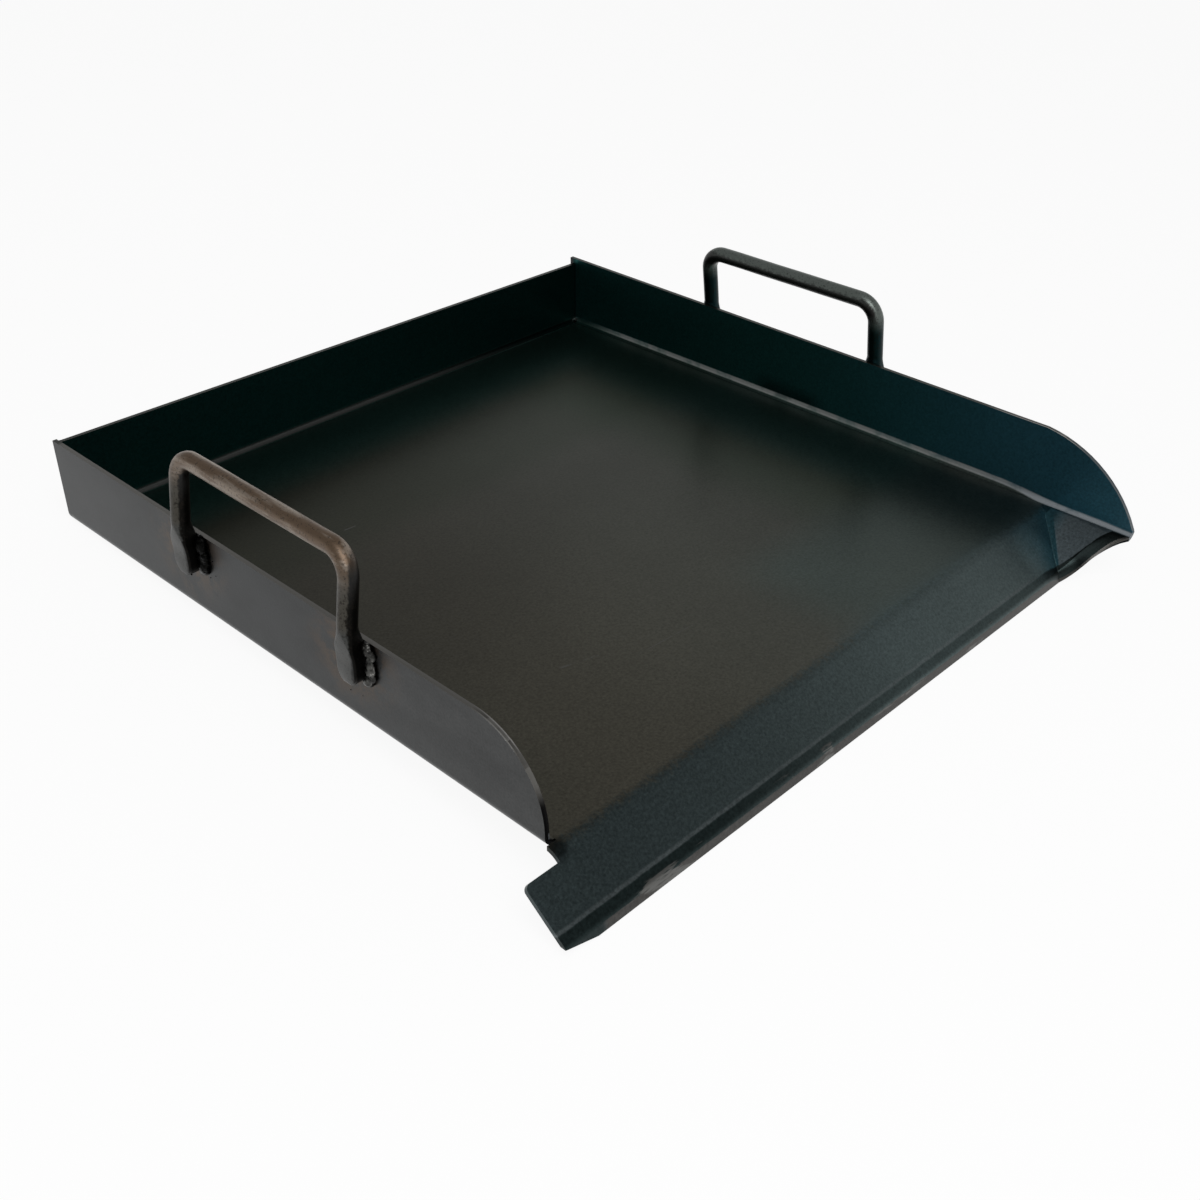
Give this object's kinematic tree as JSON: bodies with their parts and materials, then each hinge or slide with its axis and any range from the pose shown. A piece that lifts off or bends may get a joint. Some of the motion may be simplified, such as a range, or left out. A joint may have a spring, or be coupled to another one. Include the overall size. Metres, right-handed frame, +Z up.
{
  "type": "camp griddle plate",
  "caption": "Folded black steel camp griddle plate with low walls, a sloping front lip with a drip edge and welded round-bar handles",
  "frame": {"origin": "on the underside of the base, half way between the outside faces of the side walls and half way between the start of the lip's bend and the outside of the back wall", "axes": "+X towards the right wall as seen from the front lip, +Y from the front lip to the back wall, +Z up out of the pan"},
  "size_m": [0.4295, 0.4365, 0.1211],
  "materials": {
    "sheet_steel": "blued black sheet, satin",
    "bar_steel": "mill scale with a brown tint",
    "weld_steel": "raw weld bead"
  },
  "bodies": {
    "root": {"folded_pan": "sheet_steel", "left_handle": "bar_steel", "right_handle": "bar_steel", "left_rear_foot_weld": "weld_steel", "left_front_foot_weld": "weld_steel", "right_rear_foot_weld": "weld_steel", "right_front_foot_weld": "weld_steel", "left_corner_weld": "weld_steel", "right_corner_weld": "weld_steel"}
  },
  "joints": []
}
